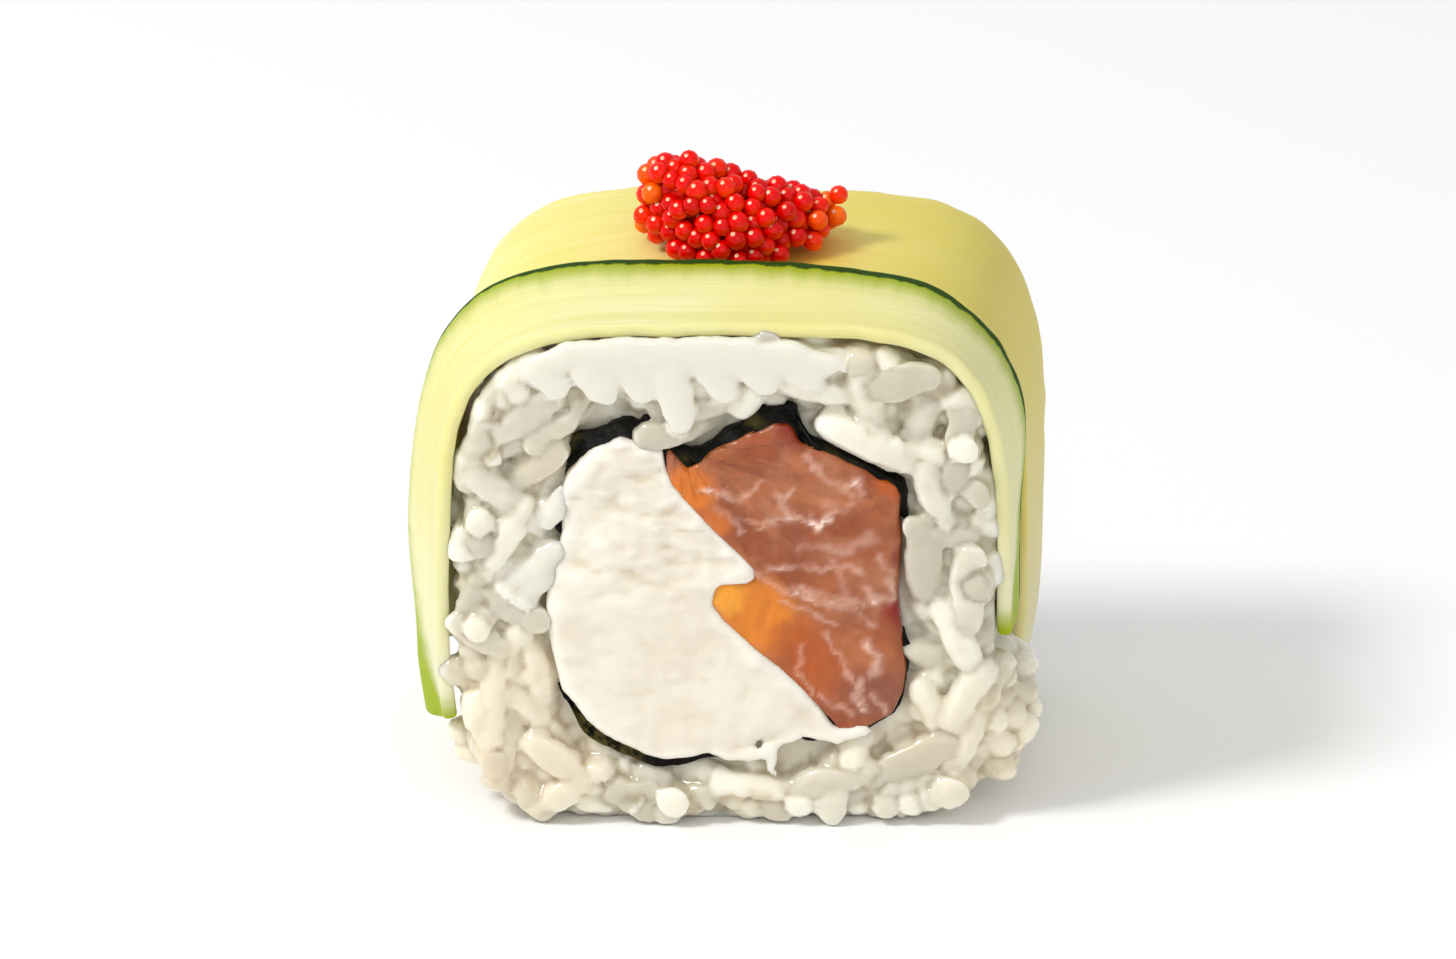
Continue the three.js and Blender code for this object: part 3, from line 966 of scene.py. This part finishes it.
# Offsets from the sleeve's outline by bearing: the sheet's outer and inner face, and how far its
# cut edge lies behind the rice. The sheet's ends overlap at the top.
nori = {
    "outer": [
        (385, 0.4), (360, -0.35), (345, 0), (341, 0.35), (336, 0), (322, 0.3), (314, -0.2),
        (300, -0.5), (297, -0.35), (291, -0.7), (270, 0.2), (262, 0.1), (249, 0.35), (238, 0.1),
        (227, 0.25), (220, -0.2), (210, 0.2), (189, 0.85), (184, 0.75), (171, 0.4), (158, 0.1),
        (153, 0.05), (146, 0.3), (141, 0.3), (132, 1.4), (125, 0.36), (117, 0.45), (111.5, 2.1),
        (108.5, 0.5), (104, 0.35), (97, -0.3), (88, 0.1), (81, 0.75), (73, 0.75), (67, -0.75),
        (55, -0.5), (41, 0.15), (35, 0.85), (25, 0.4)],
    "inner": [
        (385, -0.25), (360, -0.5), (345, -0.3), (341, -0.3), (336, -0.15), (322, 0.1), (314, -0.4),
        (300, -0.7), (297, -0.95), (291, -0.85), (270, -0.1), (262, -0.3), (249, -0.3), (238, -0.6),
        (227, -0.6), (220, -0.6), (210, 0), (189, 0.5), (184, 0.6), (171, 0.2), (158, -0.45),
        (153, -0.4), (146, 0.05), (141, 0.1), (132, -0.05), (125, -0.6), (117, -1.05), (111, -0.4),
        (107, -1.35), (103, -0.9), (97, -0.75), (88, -0.85), (81, -0.85), (73, -0.5), (67, -1.15),
        (55, -0.75), (41, -0.2), (35, 0.45), (25, -0.25)],
    "recess": [
        (385, 0.3), (380, 1.3), (347, 1.3), (343, 0.1), (330, 0.5), (300, 0.1), (215, 0.1),
               (207, 1.3), (193, 1.2), (189, 0.2), (185, 1.2), (161, 1.2), (156, 0.1), (151, 1.3),
               (143, 1), (137, 0.1), (35, 0), (25, 0.3)],
    "segments": 300,
    "edgeReach": 1.7,  # how far in from a cut edge the sheet is pulled back
    "ragged": 0.3,
    "crinkle": 0.16,
}


def noriOffset(side, angle):
    bearing = (degrees(angle) - 25) % 360 + 25
    return atBearing(nori[side], bearing)


# The rice closes over the nori where its edge lies deep.
def riceWall(angle):
    return noriOffset("outer", angle) + 0.1 - 0.35 * min(noriOffset("recess", angle), 1)


def makeNori():
    rear = roll["depth"]
    depths = [0, 0.35, 0.9] + evenly(1.8, rear - 1.8, 22) + [rear - 0.9, rear - 0.35, rear]
    bm = sleeveMesh(
        lambda a: sectionPoint(sleeve, a, noriOffset("outer", a)),
        lambda a: sectionPoint(sleeve, a, noriOffset("inner", a)),
        depths,
        nori["segments"],
    )
    reach = nori["edgeReach"]
    for v in bm.verts:
        x = v.co.x / mm - shift.x
        angle = atan2(v.co.z / mm - sleeve["centre"][1], x - sleeve["centre"][0])
        depth = v.co.y / mm + rear / 2 - shift.y
        toEdge = min(depth, rear - depth)
        inwards = noriOffset("recess", angle) + nori["ragged"] * abs(ripple(v.co, 420, 3))
        if toEdge < reach:
            v.co.y += copysign(inwards * (1 - toEdge / reach), rear / 2 - depth) * mm
        crinkle = nori["crinkle"] * (1 + smoothStep(toEdge / 2))
        v.co.x += ripple(v.co, 520, 3) * crinkle * mm
        v.co.z += ripple(v.co + Vector((3, 0, 0)), 520, 3) * crinkle * mm
    return objectFrom("nori_sheet", bm)


def noriPaint():
    paint = Paint("nori")
    where = paint.where()
    speckle = paint.noise(where, 1400, 4)
    damp = paint.noise(where, 240)
    olive = damp.between(0.6, 0.72) * 0.7 + paint.near(-9.5, 6, 3) * speckle.between(0.4, 0.55)
    colour = paint.layered(
        (5, 5, 4),
        (speckle.between(0.5, 0.75), 26, 27, 14),
        (olive.clamped() * 0.8, 98, 88, 38),
    )
    bump = (speckle + damp, 0.5, 0.0003)
    return paint.finish(colour, speckle * 0.3 + 0.3, bump, others={"Specular IOR Level": 0.15})


filling = {
    "meet": 0.3,  # how far cheese and salmon grow towards each other
    "gap": 0.55,  # between the sleeve's outline and the solids' edge
    "rimFrom": 0.6,  # share of the way out at which the rim begins
    "tuck": 0.08,  # how far the rim runs into the nori
}
cheese = {"voxel": 0.3, "swell": 0.22, "folds": (0.12, 0.3), "fine": 0.06, "proud": 0.12}


# A node's solid as an even mesh that takes relief.
def remeshedNode(node, name, voxel, lines=()):
    bm = bmesh.new()
    bm.from_mesh(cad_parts[node].data)
    bmesh.ops.remove_doubles(bm, verts=bm.verts, dist=1e-6)
    addSmears(bm, lines)
    return fused(objectFrom(name, bm), voxel, 3)


# Moves the filling's rim out or in, so that it meets the nori's inner face.
def fitRim(point):
    x = point.x - shift.x - roll["skew"] * (point.y - shift.y + roll["depth"] / 2)
    toRight, up = x - sleeve["centre"][0], point.z - sleeve["centre"][1]
    angle = atan2(up, toRight)
    edge = sectionReach(sleeve, angle, -filling["gap"])
    start = filling["rimFrom"]
    near = smoothStep((hypot(toRight, up) / edge - start) / (1 - start))
    move = (noriOffset("inner", angle) + filling["gap"] + filling["tuck"]) * near
    return Vector((cos(angle) * move, 0, sin(angle) * move)), near


def relief(obj, height):
    points = rows(obj.data) / mm
    outwards = rows(obj.data, "normal")
    moved = []
    for point, outward in zip(map(Vector, points), map(Vector, outwards)):
        rim, near = fitRim(point)
        towards = outward * filling["meet"] * (1 - abs(outward.y)) * (1 - near)
        moved.append(point + rim + towards + outward * height(point) * abs(outward.y) ** 2)
    setRows(obj.data, np.array(moved) * mm)
    markHeight(obj.data, 12)
    return obj


# The folds are deeper in the upper part.
def cheeseRelief(p):
    low, more = cheese["folds"]
    depth = low + more * smoothStep((p.z - 14) / 8)
    folds = ripple(Vector((p.x * 0.5, p.y * 0.2, p.z * 0.9)) + Vector((7, 0, 0)), 0.5, 3)
    soft = cheese["swell"] * ripple(p, 0.16)
    return soft + folds * depth + cheese["fine"] * ripple(p, 1.1, 3) + cheese["proud"]


# Fibres fan out from the top left of the salmon, and pale threads run through it: the width of
# each, its strength and its points.
salmon = {
    "fan": (-4.2, 28.5),
    "voxel": 0.21,
    "threads": [
        (0.22, 1, [(-2.6, 25), (-1.5, 24.8), (-0.3, 24.1), (0.4, 25)]),
        (0.2, 0.7, [(-1, 24.8), (-0.2, 24)]),
        (0.16, 0.7, [(1.3, 25.8), (0.6, 24.9)]),
        (0.3, 0.9, [(2.5, 24.6), (2.9, 23.8), (3.5, 23.3)]),
        (0.2, 0.8, [(3.6, 25.3), (2.9, 24.3)]),
        (0.24, 1, [(2, 22.7), (3.8, 23.1), (5.1, 22.5), (6.1, 22.9)]),
        (0.22, 0.8, [(3.7, 23.5), (5.2, 22.6), (6.6, 23.6)]),
        (0.26, 0.6, [(4.4, 27.5), (5.7, 26.3), (6.7, 25.3), (7.8, 24.8)]),
        (0.24, 0.8, [(7.1, 25.2), (8, 26), (8.4, 24.6)]),
        (0.3, 0.5, [(7.9, 24.4), (7, 23.6), (5.8, 24)]),
        (0.16, 0.8, [(-0.4, 22.9), (0.1, 21.6)]),
        (0.16, 0.8, [(1.3, 22.1), (1.9, 22.8)]),
        (0.2, 0.5, [(-1.6, 23.8), (0.2, 22.8), (2.4, 22.4)]),
        (0.26, 0.7, [(0.3, 19.6), (2, 18.3), (4.2, 17.6), (6.6, 17), (8.6, 16.4)]),
        (0.2, 0.9, [(1.6, 18.4), (4, 17.2), (5.6, 16.9), (8, 16.2)]),
        (0.24, 0.7, [(2.1, 19.3), (3.9, 19.6), (5.5, 18.9), (7.6, 19.5), (8.5, 18.9)]),
        (0.3, 0.6, [(6.2, 19.6), (6.7, 18.6), (7.3, 17.2)]),
        (0.18, 0.6, [(3, 16.7), (5, 15.9), (6.5, 15)]),
        (0.2, 0.7, [(5, 17.1), (7.6, 16), (9.2, 14.9)]),
        (0.3, 0.9, [(8.7, 17.7), (9.2, 17), (10.2, 16.8)]),
        (0.26, 0.7, [(9.6, 20.2), (10, 19), (10.3, 17.2)]),
        (0.2, 0.6, [(5.8, 14.5), (6.7, 12.9), (7.7, 10.8), (8.6, 9.2)]),
        (0.16, 0.6, [(4.3, 13.6), (4.1, 11.8), (4.8, 10)]),
        (0.3, 0.8, [(8.7, 13.7), (9.4, 12.7), (9.2, 11.4)]),
        (0.2, 0.9, [(9, 10), (9.8, 9), (10.1, 8.3)]),
        (0.22, 0.7, [(8.4, 10.9), (7.7, 9.9), (8.4, 8.6)]),
        (0.16, 0.6, [(5.4, 9.9), (6.5, 8.9), (7.6, 8.3)]),
        (0.4, 0.5, [(4, 21), (7, 20.6), (9, 21.6)]),
    ],
    "fray": 0.34,
    "depth": 0.16,  # how far the threads stand out
    # Where the colour changes: (x, z, reach), colour, strength.
    "patches": [
        ((-3.6, 25, 1.7), (226, 122, 20), 0.9), ((-1.8, 22.6, 1.1), (212, 110, 30), 0.8),
        ((1.2, 15.4, 2.8), (226, 130, 16), 0.9), ((3.9, 13.4, 2), (182, 84, 16), 0.7),
        ((-0.9, 17, 1.2), (240, 160, 40), 0.9), ((5.4, 11.4, 2), (180, 84, 20), 0.8),
        ((8.2, 10.2, 1.6), (150, 70, 36), 0.7), ((1.2, 28.8, 1.2), (164, 78, 26), 0.6),
        ((3.8, 29.8, 1.5), (134, 34, 8), 0.9), ((10.4, 25.6, 1.2), (190, 86, 14), 0.8),
        ((11.2, 16, 1.3), (136, 16, 0), 1), ((10.9, 20, 0.8), (130, 44, 12), 0.8),
        ((9.8, 9.6, 2.2), (132, 72, 54), 0.7),
    ],
    "fibres": 0.2,
    "lumps": 0.2,
    "fine": 0.04,
}


def salmonRelief(p):
    toRight, up = p.x - shift.x - salmon["fan"][0], p.z - salmon["fan"][1]
    turn = atan2(up, toRight) + 0.12 * noise.noise(p * 0.3)
    away = hypot(toRight, up)
    fibres = noise.noise(Vector((turn * 11, away * 0.22, p.y * 0.3)))
    fibres += 0.6 * noise.noise(Vector((turn * 26, away * 0.4, p.y * 0.5 + 9)))
    lumps = salmon["lumps"] * ripple(p, 0.35)
    return salmon["fibres"] * fibres + lumps + salmon["fine"] * ripple(p, 1.5)


# How strongly a thread shows at each point of a mesh, as an attribute and as relief.
def addThreads(obj):
    points = rows(obj.data)
    flat = points[:, [0, 2]] / mm - (shift.x, 0)
    flat += [[salmon["fray"] * ripple(p, scale, 3) for scale in (700, 800)] for p in points]
    shown = np.zeros(len(points))
    for width, strength, line in salmon["threads"]:
        for start, end in zip(np.array(line), np.array(line)[1:]):
            run = end - start
            share = np.clip((flat - start) @ run / (run @ run), 0, 1)
            gap = np.linalg.norm(flat - start - share[:, None] * run, axis=1)
            shown = np.maximum(shown, strength * np.exp(-((gap / width) ** 2)))
    shown *= [0.75 + 0.5 * ripple(p, 600) for p in points]
    shown = shown.clip(0, 1)
    mark(obj.data, "thread", shown)
    outwards = rows(obj.data, "normal")
    lifted = shown * np.abs(outwards[:, 1]) * salmon["depth"] * mm
    setRows(obj.data, points + outwards * lifted[:, None])
    return obj


def cheesePaint():
    paint = Paint("cream cheese")
    where = paint.where()
    height = paint.attribute("height")
    cloud = paint.noise(where, 160)
    colour = paint.layered(
        (231, 222, 204),
        (cloud.between(0.35, 0.7), 237, 231, 216),
        # Painted light: raised points are painted lighter.
        (height.between(0, 0.2) * 0.5, 250, 246, 234),
        # Painted shade: hollows are painted darker and warmer.
        ((1 - height.between(-0.16, 0)) * 0.6, 222, 206, 172),
    )
    bump = (paint.noise(where, 700, 4), 0.3, 0.0002)
    return paint.finish(colour, cloud * 0.2 + 0.3, bump, (0.6, (1, 0.9, 0.7), 0.0008))


def salmonPaint():
    paint = Paint("salmon")
    where = paint.where()
    x, y, z = paint.parts(where)
    toRight = x / mm - (salmon["fan"][0] + shift.x)
    up = z / mm - salmon["fan"][1]
    broad = paint.noise(where, 170)
    turn = up.combine("ARCTAN2", toRight) + (broad - 0.5) * 0.22
    away = (toRight * toRight + up * up) ** 0.5
    fan = {"X": turn * 6, "Y": away * 0.25, "Z": y / mm * 0.5 + 11}
    veil = paint.noise(paint.add("CombineXYZ", {}, fan), 1, 3, 0.55, 0.3).between(0.42, 0.66)
    haze = paint.noise(where, 240, 3, 0.6).between(0.42, 0.66)
    thread = paint.attribute("thread")
    colour = paint.layered(
        (154, 76, 34),
        (broad.between(0.35, 0.68), 180, 104, 58),
        (veil * 0.6, 134, 52, 18),
        (haze * 0.4, 190, 130, 96),
        *((paint.near(*spot) * share, *shade) for spot, shade, share in salmon["patches"]),
        (thread * 0.8, 232, 190, 170),
        (thread.between(0.55, 1) * 0.7, 250, 228, 218),
    )
    return paint.finish(
        colour,
        haze * 0.15 + 0.16,
        (broad * 0.8 - veil * 0.4, 0.7, 0.0004),
        (0.3, (1, 0.45, 0.25), 0.0008),
        {"Specular IOR Level": 0.3, "Coat Weight": 0.25, "Coat Roughness": 0.08},
    )


roe = {
    "eggRadius": 0.74,
    "centre": (-1.3, 12),  # x and depth
    "halfLength": 6.3,
    "halfDepth": 3.1,
    "height": 5.2,
    "tallSide": 0.4,  # how much taller the left end is than the right
    "fullness": 0.6,  # below 1 its sides are steeper than an ellipsoid's
    "bow": 1.9,  # how much further back its ends lie than its middle
    "lift": 1.2,  # how far its ends overhang
    "base": 37.45,
    # Scale of each layer of eggs, and their spacing.
    "layers": [(1, 0.98), (0.86, 1), (0.7, 1.05)],
    "coreScale": 0.66,
    # Loose eggs at the ends: x, depth, z.
    "loose": [(-7.5, 13.4, 42.6), (-7.55, 13.2, 41.2), (-7.7, 13, 39.7), (-4.6, 12.6, 44),
              (-5.6, 12.8, 43.3), (5.5, 13.8, 40.9), (5.4, 13.4, 39.5)],
    "paintedGlowFrom": (0.45, -0.35, -0.8),  # the side of each egg that is painted lighter orange, painted light as if light left the egg there
    "paintedHighlight": (-0.3, -0.6, 0.75),  # where each egg gets a painted highlight
    "tries": 1800,
    "seed": 5,
}


def heapPoint(up, turn, scale):
    flat = sqrt(max(0, 1 - up * up))
    x = flat * cos(turn)
    return Vector((
        roe["centre"][0] + scale * roe["halfLength"] * x,
        roe["centre"][1] + scale * roe["halfDepth"] * flat * sin(turn) + roe["bow"] * x * x,
        roe["base"] + scale * roe["height"] * up ** roe["fullness"] * (1 - roe["tallSide"] * x)
        + roe["lift"] * x * x,
    ))


def eggSpot(scale, dice):
    turn = dice.uniform(0, 2 * pi)
    spot = heapPoint(dice.random() ** 1.3, turn, scale * dice.uniform(0.95, 1.05))
    spot.z = max(spot.z, roe["base"] + roe["eggRadius"] * 0.9)
    return (spot,)


def makeRoe():
    dice = random.Random(roe["seed"])
    bm = bmesh.new()
    bmesh.ops.create_icosphere(bm, subdivisions=2, radius=roe["eggRadius"] * mm)
    shapes = [shapeFrom(bm)]
    spots = [Vector(spot) for spot in roe["loose"]]
    for scale, spacing in roe["layers"]:
        list(scattered(lambda: eggSpot(scale, dice), spacing, roe["tries"], spots))
    copies = []
    for spot in spots:
        size = dice.uniform(0.9, 1.1)
        turned = Matrix.Rotation(dice.uniform(0, 3), 3, Vector((dice.random(), 1, dice.random())))
        outer = abs(spot.x - roe["centre"][0]) / roe["halfLength"]
        high = (spot.z - roe["base"]) / roe["height"] - 0.9
        # Tone differs at random from egg to egg, and painted light makes eggs at the ends and on
        # top of the heap more orange, as if light shone through them.
        tone = 0.55 * dice.random() + 0.7 * smoothStep((outer - 0.75) * 4)
        tone += 0.35 * smoothStep(high * 2)
        copies.append((0, turned * size, place(*spot), tone))
    eggs = joinedCopies("eggs", shapes, copies)
    bm = bmesh.new()
    made = bmesh.ops.create_uvsphere(bm, u_segments=28, v_segments=14, radius=1)["verts"]
    for v in made:
        spot = heapPoint(abs(v.co.z), atan2(v.co.y, v.co.x), roe["coreScale"])
        if v.co.z < 0:
            spot.z = roe["base"] + 0.1
        v.co = place(*spot)
    bm.from_mesh(eggs)
    print(len(spots), "eggs")
    return objectFrom("roe_eggs", bm)


def roePaint():
    paint = Paint("flying fish roe")
    where = paint.where()
    tone = paint.attribute("tone")
    facing = paint.add("TexCoord", {}, {}, "Normal")

    def towards(direction):
        settings = {"operation": "DOT_PRODUCT"}
        return paint.add("VectorMath", settings, {0: facing, 1: Vector(direction).normalized()}, 1)

    # Painted light: the side of each egg away from the lamp is painted lighter orange, as if light
    # came out through it.
    glow = towards(roe["paintedGlowFrom"]).between(0.1, 0.95)
    # Painted highlight: a pale spot on each egg's upper front side.
    paintedHighlight = towards(roe["paintedHighlight"]).between(0.968, 0.99)
    stops = [(0, (206, 2, 0)), (0.5, (236, 6, 0)), (0.8, (250, 52, 0)), (1, (255, 112, 8))]
    colour = paint.layered(
        paint.ramp(tone, [(position, tint(*shade)) for position, shade in stops]),
        (glow * (tone * 0.6 + 0.2), 255, 104, 4),
        (paintedHighlight * 0.85, 255, 206, 170),
    )
    return paint.finish(
        colour,
        paint.noise(where, 1500, 2) * 0.06 + 0.06,
        (paint.noise(where, 2400, 2), 0.1, 0.0001),
        (0.7, (1, 0.15, 0.03), 0.0008),
        {"Specular IOR Level": 0.22},
    )


# Whether a strip lies over a place of the rice's outside.
def underStrips(bearing, depth, z):
    turned = (bearing + 90) % 360 - 90
    for spec in (frontStrip, rearStrip):
        side = spec["leftEnd"] if turned > 90 else spec["rightEnd"]
        near = atBearing(spec["frontEdge"], turned) - rice["stripMargin"]
        far = atBearing(spec["rearEdge"], turned) + rice["stripMargin"]
        if near < depth < far and z > side - 2 and -80 < turned < 260:
            return True
    return False


dress(makeRice(), ricePaint(), ["rice"])
dress(makeNori(), noriPaint(), ["nori"])
cheeseBlock = remeshedNode(
    "cream_cheese", "cream_cheese_block", cheese["voxel"], smears["onCheese"]
)
dress(relief(cheeseBlock, cheeseRelief), cheesePaint(), ["cream_cheese"])
salmonBlock = remeshedNode("salmon", "salmon_block", salmon["voxel"])
dress(addThreads(relief(salmonBlock, salmonRelief)), salmonPaint(), ["salmon"])
for side, spec in (("front", frontStrip), ("rear", rearStrip)):
    strip = makeStrip("cucumber_" + side + "_slice", spec)
    dress(strip, cucumberPaint(spec), ["cucumber_" + side])
dress(makeRoe(), roePaint(), ["roe"])
print("pieces made")

stage = {
    "floorHalf": 1.5,
    "floorHeight": -0.0001,
    "elevation": 24,  # degrees the camera looks down
    "distance": 0.95,
    "frameHeight": 0.066,  # metres of the piece's plane that the picture spans
    "aimHeight": 0.0205,
    "aspect": 1456 / 959,
    # Name, size, power and place.
    "lamps": [("window", 0.14, 1.9, (-0.34, -0.16, 0.46)), ("fill", 0.5, 0.6, (0.15, -0.6, 0.35))],
    "lampAim": (0, 0, 0.02),
    "skyStrength": 0.68,
}


def makeFloor():
    bm = bmesh.new()
    bmesh.ops.create_grid(bm, x_segments=1, y_segments=1, size=stage["floorHalf"])
    bmesh.ops.translate(bm, verts=bm.verts, vec=(0, 0, stage["floorHeight"]))
    obj = objectFrom("floor", bm)
    paint = Paint("white table")
    obj.data.materials.append(paint.finish(tint(250, 250, 250), 0.6))
    obj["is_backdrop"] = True


def makeLight(name, size, power, spot):
    lamp = bpy.data.lights.new(name, "AREA")
    lamp.shape = "DISK"
    lamp.size = size
    lamp.energy = power
    obj = newObject(name, lamp)
    obj.location = spot
    towards = Vector(stage["lampAim"]) - Vector(spot)
    obj.rotation_euler = towards.to_track_quat("-Z", "Y").to_euler()


def makeCamera():
    lens = bpy.data.cameras.new("camera")
    lens.sensor_width = 36
    frameWidth = stage["frameHeight"] * stage["aspect"]
    lens.lens = lens.sensor_width * stage["distance"] / frameWidth
    lens.clip_start = 0.05
    camera = newObject("camera", lens)
    tilt = radians(stage["elevation"])
    aim = Vector((0, 0, stage["aimHeight"]))
    camera.location = aim + Vector((0, -cos(tilt), sin(tilt))) * stage["distance"]
    camera.rotation_euler = (pi / 2 - tilt, 0, 0)
    bpy.context.scene.camera = camera


makeFloor()
for lamp in stage["lamps"]:
    makeLight(*lamp)
world = bpy.data.worlds.new("studio")
bpy.context.scene.world = world
world.use_nodes = True
background = world.node_tree.nodes["Background"]
background.inputs["Color"].default_value = (1, 1, 1, 1)
background.inputs["Strength"].default_value = stage["skyStrength"]
bpy.context.scene.view_settings.view_transform = "Standard"
makeCamera()

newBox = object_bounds()
[[list(corner) for corner in box] for box in (cadBox, newBox)]
